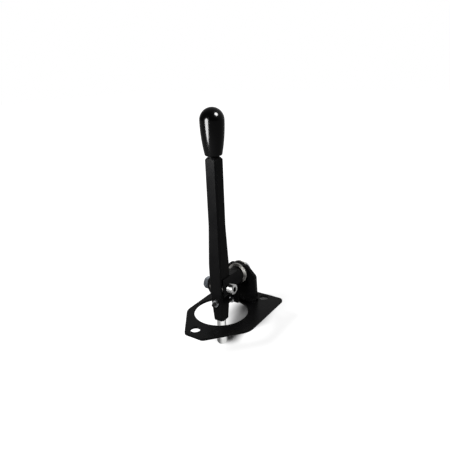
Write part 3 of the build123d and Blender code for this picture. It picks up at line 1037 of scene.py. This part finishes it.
@dataclass
class WeldBead:
    """Laid weld bead with overlapping ripples, along a seam.

    Attributes:
        seam: Gives, for 0 to 1 along the seam, its point, the two toes' offsets and the way out.
        length: Length of the seam.
        ripple: Distance from one ripple to the next.
        crown: Height of the bead's middle over the line between its toes.
        relief: How far a ripple stands out of its groove.
        bow: How far a ripple's middle runs ahead of its ends, in ripples.
        sway: Share, waves in 1 mm (as an angle) and start of each slow change in the bead's size.
        rounding: Length over which each end of the bead grows to its full size.
        end_size: Size that the growth starts from, as the square of the share.
        across: Strips across the bead.
        rows: Rows in one ripple.
    """

    seam: Callable[[float], SeamPoint]
    length: float
    ripple: float = 1.9 * MM
    crown: float = -0.35 * MM
    relief: float = 0.28 * MM
    bow: float = 0.75
    sway: tuple[Triple, ...] = ((0.035, 1.7, 0.0), (0.03, 0.61, 1.0))
    rounding: float = 3.5 * MM
    end_size: float = 0.12
    across: int = 10
    rows: int = 10

    def section(self, share: float) -> list[Vector]:
        """Returns the bead's outline at one place, root first.

        Args:
            share: Place along the seam, from 0 to 1.

        Returns:
            Points from the root round the toes and the face.
        """
        origin, first_toe, second_toe, out = self.seam(share)
        along = share * self.length
        size = 1.0 + sum(part * math.sin(along / MM * rate + at) for part, rate, at in self.sway)
        grown = self.end_size + min(along, self.length - along) / self.rounding
        size *= math.sqrt(min(1.0, grown))
        points = [origin.copy()]
        for index in range(self.across + 1):
            part = index / self.across
            chord = first_toe.lerp(second_toe, part) * size
            arch = math.sin(math.pi * part)
            phase = (along / self.ripple + self.bow * arch) % 1.0
            scale = math.sqrt(max(0.0, 1.0 - (2.0 * phase - 1.0) ** 2))
            points.append(origin + chord + out * arch * (self.crown + self.relief * scale))
        return points

    def lay(self, work: Work) -> None:
        """Adds the bead to a mesh as a closed body.

        Args:
            work: The mesh.
        """
        count = int(self.length / self.ripple * self.rows)
        rows = []
        for index in range(count + 1):
            rows.append([work.verts.new(point) for point in self.section(index / count)])
        for first, second in zip(rows, rows[1:]):
            join_rings(work, first, second)
        work.faces.new(rows[0])
        work.faces.new(rows[-1])


# Sub-assemblies


@dataclass
class SubAssembly:
    """What every sub-assembly has: the finishes of its CAD nodes and its fine pieces.

    Attributes:
        finishes: Names of the CAD nodes to their finishes.
    """

    finishes: dict[str, Finish]

    def build(self, frame: dict) -> None:
        """Gives each CAD node its finish and adds the fine pieces.
        """
        for node, finish in self.finishes.items():
            piece, material = frame["nodes"][node], finish.material()
            if not piece.material_slots:
                piece.data.materials.append(material)
            for slot in piece.material_slots:
                slot.material = material
            LOG.info("node %s wears %s", node, finish.name)
        self.add_pieces()

    def add_pieces(self) -> None:
        """Adds the fine pieces; each sub-assembly has its own."""
        raise NotImplementedError


@dataclass
class BasePlate(SubAssembly):
    """Base plate with its standing plate, bushes and the weld between the plates.

    Attributes:
        thickness: Thickness of the base plate.
        upright_front: Place along X of the standing plate's front face.
        upright_back: Place along X of its back face.
        foot_half: Half the length of its foot.
        weld_leg: Leg of the fillet weld.
    """

    finishes: dict[str, Finish] = field(
        default_factory=lambda: {
            "base_plate": PLATE_COAT,
            "upright": UPRIGHT_COAT,
            "upright_weld": WELD_COAT,
            "front_bush": BUSH_STEEL,
            "rear_bush": BUSH_STEEL,
        }
    )
    thickness: float = 4.0 * MM
    upright_front: float = 53.0 * MM
    upright_back: float = 60.0 * MM
    foot_half: float = 34.0 * MM
    weld_leg: float = 4.5 * MM

    def seam(self, face: float, side: int, share: float) -> SeamPoint:
        """Returns the seam at one place along a side of the foot.

        Args:
            face: Place along X of the standing plate's face.
            side: -1 in front of it and 1 behind it.
            share: Place along the seam, from 0 to 1.

        Returns:
            The point, the offsets of both toes and the way out.
        """
        origin = Vector((face, self.foot_half * (2.0 * share - 1.0), self.thickness))
        level = Vector((side * self.weld_leg, 0.0, 0.0))
        upward = Vector((0.0, 0.0, self.weld_leg))
        return origin, level, upward, Vector((side, 0.0, 1.0)).normalized()

    def add_pieces(self) -> None:
        """Lays both weld beads."""
        work = bmesh.new()
        for face, side in ((self.upright_front, -1), (self.upright_back, 1)):
            WeldBead(partial(self.seam, face, side), 2.0 * self.foot_half).lay(work)
        replace_node("upright_weld", "base", "foot_weld_beads", work, WELD_COAT, WELD_SMOOTH)


@dataclass
class PivotFork(SubAssembly):
    """Fork with its shaft, nuts, cross bolt and the stop tongue below it.

    Attributes:
        fork_radius: Radius of the fork's head.
        tongue_front: Place along X of the tongue's front face.
        tongue_back: Place along X of its back face.
        tongue_half: Half its width.
        weld_leg: Leg of the weld in front of the tongue.
        ripple: Distance from one ripple of that weld to the next.
        front_crown: Height of the front bead's middle over the line between its toes.
        back_crown: The same for the bead across the tongue's back.
        screw_point: Place along X of the stop screw's point.
        screw_socket: Centre of its socket end.
    """

    finishes: dict[str, Finish] = field(
        default_factory=lambda: {
            "pivot_fork": SHAFT_COAT,
            "stop_tongue": FORK_COAT,
            "tongue_weld": WELD_COAT,
            "rear_thrust_washer": WASHER_STEEL,
            "shaft_nut": NUT_ZINC,
            "shaft_nut_ring": RING_NYLON,
            "throw_stop_screw": SCREW_BLACK,
            "throw_stop_nut": NUT_ZINC,
            "cross_bolt": BOLT_BRIGHT,
            "cross_nut": NUT_SHADED,
            "lever_thrust_washers": THRUST_STEEL,
        }
    )
    fork_radius: float = 19.5 * MM
    tongue_front: float = 33.0 * MM
    tongue_back: float = 38.0 * MM
    tongue_half: float = 12.5 * MM
    weld_leg: float = 3.0 * MM
    ripple: float = 1.6 * MM
    front_crown: float = -0.25 * MM
    back_crown: float = 0.75 * MM
    screw_point: float = 19.0 * MM
    screw_socket: Triple = (42.0 * MM, 0.0, 10.5 * MM)

    def half_angle(self) -> float:
        """Returns the angle from the fork's underside to the tongue's edge."""
        return math.asin(self.tongue_half / self.fork_radius)

    def front_seam(self, share: float) -> SeamPoint:
        """Returns the seam at one place where the tongue's front meets the fork.

        Args:
            share: Place along the seam, from 0 to 1.

        Returns:
            The point, the offsets of both toes and the way out.
        """
        angle = self.half_angle() * (2.0 * share - 1.0)
        radial = Vector((0.0, math.sin(angle), -math.cos(angle)))
        forward = Vector((-1.0, 0.0, 0.0))
        origin = Vector((self.tongue_front, 0.0, HUB[2])) + radial * self.fork_radius
        out = (forward + radial).normalized()
        return origin, forward * self.weld_leg, radial * self.weld_leg, out

    def back_seam(self, share: float) -> SeamPoint:
        """Returns the seam at one place across the tongue's back.

        Args:
            share: Place along the seam, from 0 to 1.

        Returns:
            The point, the offsets of both toes and the way out.
        """
        height = HUB[2] - math.sqrt(self.fork_radius**2 - self.tongue_half**2)
        origin = Vector((self.tongue_back, self.tongue_half * (2.0 * share - 1.0), height))
        upward = Vector((0.0, 0.0, 0.5 * self.weld_leg))
        return origin, -upward, upward, Vector((1.0, 0.0, 0.0))

    def add_pieces(self) -> None:
        """Lays the tongue's beads and cuts the stop screw's thread."""
        work = bmesh.new()
        arc = 2.0 * self.half_angle() * self.fork_radius
        WeldBead(self.front_seam, arc, self.ripple, self.front_crown).lay(work)
        width = 2.0 * self.tongue_half
        WeldBead(self.back_seam, width, self.ripple, self.back_crown).lay(work)
        replace_node("tongue_weld", "pivot", "tongue_weld_beads", work, WELD_COAT, WELD_SMOOTH)
        length = self.screw_socket[0] - self.screw_point
        screw = SetScrew("stop_screw_thread", self.screw_socket, -1, length)
        screw.build("throw_stop_screw", "pivot")


@dataclass
class Lever(SubAssembly):
    """Lever bar with its sleeve, selector pin, clamp screw and knob.

    Attributes:
        screw_point: Place along X of the clamp screw's point.
        screw_socket: Centre of its socket end.
    """

    finishes: dict[str, Finish] = field(
        default_factory=lambda: {
            "lever_bar": LEVER_COAT,
            "lever_sleeve": SLEEVE_BRONZE,
            "pin_clamp_screw": SCREW_BLACK,
            "pin_clamp_nut": NUT_ZINC,
            "selector_pin": PIN_POLISH,
            "knob_insert": INSERT_BRASS,
            "gear_knob": KNOB_GLOSS,
        }
    )
    screw_point: float = -5.2 * MM
    screw_socket: Triple = (-20.9 * MM, 0.0, 23.5 * MM)

    def add_pieces(self) -> None:
        """Cuts the clamp screw's thread."""
        length = self.screw_point - self.screw_socket[0]
        screw = SetScrew("clamp_screw_thread", self.screw_socket, 1, length)
        screw.build("pin_clamp_screw", "lever")


# Studio

WHITE = (1.0, 1.0, 1.0)


class LampRole(Enum):
    """What a lamp does: it lights matt faces and floor, or only shows in shiny faces."""

    LIGHT = "light"
    SHINE = "shine"


@dataclass(frozen=True)
class Softbox:
    """Oval lamp that faces a point.

    Attributes:
        name: Name of the lamp.
        role: Whether it lights or only shines.
        place: Its centre.
        target: Point that it faces.
        size: Width and height.
        power: Power in watts.
        shows_in: Nodes and pieces that it is kept to, or nothing where it reaches all. Only they
            throw a shadow in a lamp that shines.
    """

    name: str
    role: LampRole
    place: Triple
    target: Triple
    size: Pair
    power: float
    shows_in: tuple[str, ...] = ()

    def build(self, frame: dict) -> None:
        """Adds the lamp to the scene.
        """
        light = bpy.data.lights.new(self.name, "AREA")
        light.shape = "ELLIPSE"
        light.size, light.size_y = self.size
        light.energy = self.power
        lamp = bpy.data.objects.new(self.name, light)
        bpy.context.scene.collection.objects.link(lamp)
        lamp.location = self.place
        ahead = Vector(self.target) - Vector(self.place)
        lamp.rotation_euler = ahead.to_track_quat("-Z", "Y").to_euler()
        lamp.visible_diffuse = self.role is LampRole.LIGHT
        lamp.visible_glossy = self.role is LampRole.SHINE
        lamp.visible_camera = False
        if self.shows_in:
            group = bpy.data.collections.new(f"{self.name}_shows_in")
            for name in self.shows_in:
                group.objects.link(frame["nodes"].get(name) or bpy.data.objects[name])
            lamp.light_linking.receiver_collection = group
            if self.role is LampRole.SHINE:
                lamp.light_linking.blocker_collection = group


@dataclass(frozen=True)
class FloorShade:
    """Painted shadow: a strip of floor under the part to which no light is added, fixed whatever
    the pose.

    Attributes:
        start: One end of the strip's middle line, as X and Y.
        end: Its other end.
        near: Distance from the line at which the added light starts.
        far: Distance at which it is whole.
    """

    start: Pair
    end: Pair
    near: float
    far: float

    def lit(self, graph: NodeGraph, place: Socket) -> Socket:
        """Returns how much of the added light reaches each point, from 0 to 1.

        Args:
            graph: The floor's tree.
            place: Socket of the point on the floor.

        Returns:
            The share's socket.
        """
        start, end = Vector((*self.start, 0.0)), Vector((*self.end, 0.0))
        length, way = (end - start).length, tuple((end - start).normalized())
        offset = graph.vector("SUBTRACT", place, tuple(start))
        held = graph.ramp(graph.measure("DOT_PRODUCT", offset, way), 0.0, length, 0.0, length)
        nearest = graph.add("VectorMath", {0: way, "Scale": held}, operation="SCALE").outputs[0]
        away = graph.measure("DISTANCE", offset, nearest)
        inputs = {0: away, 1: self.near, 2: self.far}
        return graph.add("MapRange", inputs, interpolation_type="SMOOTHSTEP").outputs[0]


STANDING_PIECES = (
    "upright",
    "foot_weld_beads",
    "pivot_fork",
    "stop_tongue",
    "tongue_weld_beads",
    "lever_bar",
)
# Painted shadow strips on the floor under and behind the plate.
FLOOR_SHADES = (
    FloorShade((0.020, 0.000), (0.080, 0.005), 0.006, 0.028),
    FloorShade((0.084, 0.005), (0.120, 0.016), 0.010, 0.050),
    FloorShade((0.120, 0.015), (0.162, 0.010), 0.008, 0.024),
)
# Place, target and size that two lamps share.
LEFT_BOX = ((-0.60, 0.38, 0.30), (0.0, 0.0, 0.05), (0.30, 0.26))
# Name, place, target, size, power and the pieces that each lamp is kept to.
LIGHTS = (
    ("key", (-0.78, 0.05, 0.73), (0.0, 0.0, -0.05), (0.35, 0.35), 11.5, ()),
    ("overhead", (0.0, 0.0, 1.6), ORIGIN, (2.0, 2.0), 1.6, ()),
    ("back_fill", (0.85, 0.10, 0.32), (0.0, 0.0, 0.10), (0.5, 0.5), 16.0, STANDING_PIECES),
    ("far_fill", (-0.05, 0.85, 0.25), (0.0, 0.0, 0.10), (0.5, 0.5), 16.0, STANDING_PIECES),
)
SHINES = (
    ("left_strip", (-0.49, 0.125, 0.27), (0.0, 0.0, 0.27), (0.25, 0.38), 19.0, ("gear_knob",)),
    ("right_spot", (0.07, -0.60, 0.96), (0.0, 0.0, 0.3), (0.40, 0.40), 44.0, ("gear_knob",)),
    ("lever_glow", (-0.48, 0.36, 0.33), (0.0, 0.0, 0.25), (0.30, 0.18), 15.0, ("lever_bar",)),
    ("metal_box", *LEFT_BOX, 1.1, ("cross_bolt", "pin_clamp_nut")),
    ("flange_glow", (-0.55, -0.10, 0.08), (0.05, 0.0, 0.05), (0.36, 0.30), 3.0, ("front_bush",)),
    ("nut_glow", *LEFT_BOX, 0.1, ("cross_nut",)),
    ("rim_glow", (0.45, 0.07, 0.33), (0.066, 0.0, 0.07), (0.35, 0.25), 0.8, ("rear_bush",)),
)
LAMPS = tuple(
    Softbox(name, role, *rest)
    for role, table in ((LampRole.LIGHT, LIGHTS), (LampRole.SHINE, SHINES))
    for name, *rest in table
)


@dataclass
class Studio:
    """Pale floor, soft light, white surround and the photograph's camera.

    Attributes:
        floor_height: Height of the floor, just under the selector pin.
        floor_half: Half the floor's width.
        floor_colour: Level of the floor's own pale grey.
        floor_lift: Light that the open floor adds to its own colour as the camera sees it.
        far_lift: Light added beyond that far away, where the lamps don't reach.
        far_reach: Distances from the part at which the far light starts and is whole.
        shades: Painted shadow strips under and behind the plate, where nothing is added.
        shine_share: Share of the added light that shiny faces show.
        painted_reflection_way: Direction from the pin in which the floor by it is brightest in
            shine.
        painted_reflection_edge: Levels of that direction where the share goes from least to most.
        painted_reflection_share: Least and most share beside the pin.
        painted_reflection_reach: Distances from the pin over which it turns into the common share.
        world_level: Level of the surround for matt faces.
        backdrop_way: Direction from the part to the brightest part of the backdrop.
        backdrop_edge: Levels of that direction between which it goes from dim to bright.
        backdrop_level: Its dim and bright levels in shine.
        camera_place: Place of the camera.
        yaw: Heading of the view from +X towards +Y, in degrees.
        pitch: How far the view looks down, in degrees, as a negative number.
        roll: Lean of the picture, in degrees.
        lens: Focal length in mm.
        sensor: Width of the sensor in mm.
        clip: Nearest and furthest distance that the camera sees.
        lamps: The lamps.
    """

    floor_height: float = -55.2 * MM
    floor_half: float = 6.0
    floor_colour: float = 0.42
    floor_lift: float = 0.90
    far_lift: float = 0.25
    far_reach: Pair = (0.3, 1.0)
    shades: tuple[FloorShade, ...] = FLOOR_SHADES
    shine_share: float = 0.3
    painted_reflection_way: Triple = (-0.346, -0.938, 0.0)
    painted_reflection_edge: Pair = (0.15, 0.9)
    painted_reflection_share: Pair = (0.0, 0.8)
    painted_reflection_reach: Pair = (0.10, 0.16)
    world_level: float = 0.06
    backdrop_way: Triple = (0.95, -0.1, 0.3)
    backdrop_edge: Pair = (-0.2, 0.9)
    backdrop_level: Pair = (0.06, 0.62)
    camera_place: Triple = (-513.7 * MM, -371.5 * MM, 375.0 * MM)
    yaw: float = 34.82
    pitch: float = -20.26
    roll: float = -2.4
    lens: float = 36.0
    sensor: float = 36.0
    clip: Pair = (0.01, 50.0)
    lamps: tuple[Softbox, ...] = LAMPS

    def floor_shine(self, graph: NodeGraph, place: Socket, away: Socket) -> Socket:
        """Returns the share of the added light that shiny faces show at each point.

        Args:
            graph: The floor's tree.
            place: Socket of the point on the floor.
            away: Socket of its distance from the pin.

        Returns:
            The share's socket.
        """
        # Painted reflection: beside the pin, shiny faces see the floor bright on one side and dark
        # on the other.
        side = graph.math("DIVIDE", graph.measure("DOT_PRODUCT", place, self.painted_reflection_way), away)
        reflection_mask = graph.ramp(side, *self.painted_reflection_edge, *self.painted_reflection_share)
        return graph.ramp(away, *self.painted_reflection_reach, reflection_mask, self.shine_share)

    def build_floor(self) -> None:
        """Adds the floor, which looks white to the camera, keeps the lamps' shadow and has painted
        shadow strips.
        """
        work = bmesh.new()
        bmesh.ops.create_grid(work, x_segments=1, y_segments=1, size=self.floor_half)
        mesh = bpy.data.meshes.new("floor")
        work.to_mesh(mesh)
        work.free()
        floor = bpy.data.objects.new("floor", mesh)
        floor.location = (0.0, 0.0, self.floor_height)
        bpy.context.scene.collection.objects.link(floor)
        material = bpy.data.materials.new("floor_paper")
        material.use_nodes = True
        material.node_tree.nodes.clear()
        graph = NodeGraph(material.node_tree)
        place = graph.here()
        away = graph.measure("LENGTH", place)
        ray = sockets(graph.add("LightPath"))
        seen = graph.math("MAXIMUM", ray["Is Camera Ray"], ray["Is Transmission Ray"])
        shine = graph.product(ray["Is Glossy Ray"], self.floor_shine(graph, place, away))
        seen = graph.math("MAXIMUM", seen, shine)
        # Painted shadow: no light is added in the strips.
        lit = (shade.lit(graph, place) for shade in self.shades)
        open_lift = graph.product(self.floor_lift, *lit)
        lift = graph.total(open_lift, graph.ramp(away, *self.far_reach, 0.0, self.far_lift))
        paper = graph.add("BsdfDiffuse", {"Color": colour(WHITE, self.floor_colour)})
        strength = graph.product(seen, lift)
        glow = graph.add("Emission", {"Color": colour(WHITE), "Strength": strength})
        both = graph.add("AddShader", {0: paper.outputs[0], 1: glow.outputs[0]})
        graph.add("OutputMaterial", {0: both.outputs[0]})
        mesh.materials.append(material)

    def build_world(self) -> None:
        """Makes the surround white to the camera, and a dim backdrop behind the part in shine."""
        world = bpy.data.worlds.new("surround")
        bpy.context.scene.world = world
        world.use_nodes = True
        world.node_tree.nodes.clear()
        graph = NodeGraph(world.node_tree)
        ray = sockets(graph.add("LightPath"))
        ahead = graph.add("TexCoord").outputs["Generated"]
        behind = graph.measure("DOT_PRODUCT", ahead, self.backdrop_way)
        band = graph.ramp(behind, *self.backdrop_edge, *self.backdrop_level)
        soft = graph.ramp(ray["Is Glossy Ray"], 0.0, 1.0, self.world_level, band)
        seen = graph.math("MAXIMUM", ray["Is Camera Ray"], ray["Is Transmission Ray"])
        level = graph.ramp(seen, 0.0, 1.0, soft, 1.0)
        sky = graph.add("Background", {"Color": colour(WHITE), "Strength": level})
        graph.add("OutputWorld", {0: sky.outputs[0]})

    def build_camera(self) -> None:
        """Adds the camera at the photograph's angle."""
        view = bpy.data.cameras.new("photo_view")
        view.sensor_fit = "HORIZONTAL"
        view.sensor_width = self.sensor
        view.lens = self.lens
        view.clip_start, view.clip_end = self.clip
        yaw, pitch, roll = (math.radians(turn) for turn in (self.yaw, self.pitch, self.roll))
        flat = math.cos(pitch)
        ahead = Vector((math.cos(yaw) * flat, math.sin(yaw) * flat, math.sin(pitch)))
        level = Vector((math.sin(yaw), -math.cos(yaw), 0.0))
        upward = level.cross(ahead)
        right = level * math.cos(roll) + upward * math.sin(roll)
        top = upward * math.cos(roll) - level * math.sin(roll)
        turn = Matrix((right, top, -ahead)).transposed().to_4x4()
        camera = bpy.data.objects.new("photo_view", view)
        camera.matrix_world = Matrix.Translation(self.camera_place) @ turn
        bpy.context.scene.collection.objects.link(camera)
        bpy.context.scene.camera = camera

    def build(self, frame: dict) -> None:
        """Builds floor, world, lamps and camera around the nodes and the pieces.
        """
        self.build_camera()
        self.build_floor()
        self.build_world()
        for lamp in self.lamps:
            lamp.build(frame)
        bpy.context.scene.view_settings.view_transform = "Standard"


def main() -> None:
    """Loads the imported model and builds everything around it."""
    logging.basicConfig(level=logging.INFO, format="%(name)s: %(message)s")
    for item in list(bpy.data.objects):
        bpy.data.objects.remove(item)
    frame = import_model()
    for assembly in (BasePlate(), PivotFork(), Lever(), Studio()):
        assembly.build(frame)


if __name__ == "__main__":
    main()
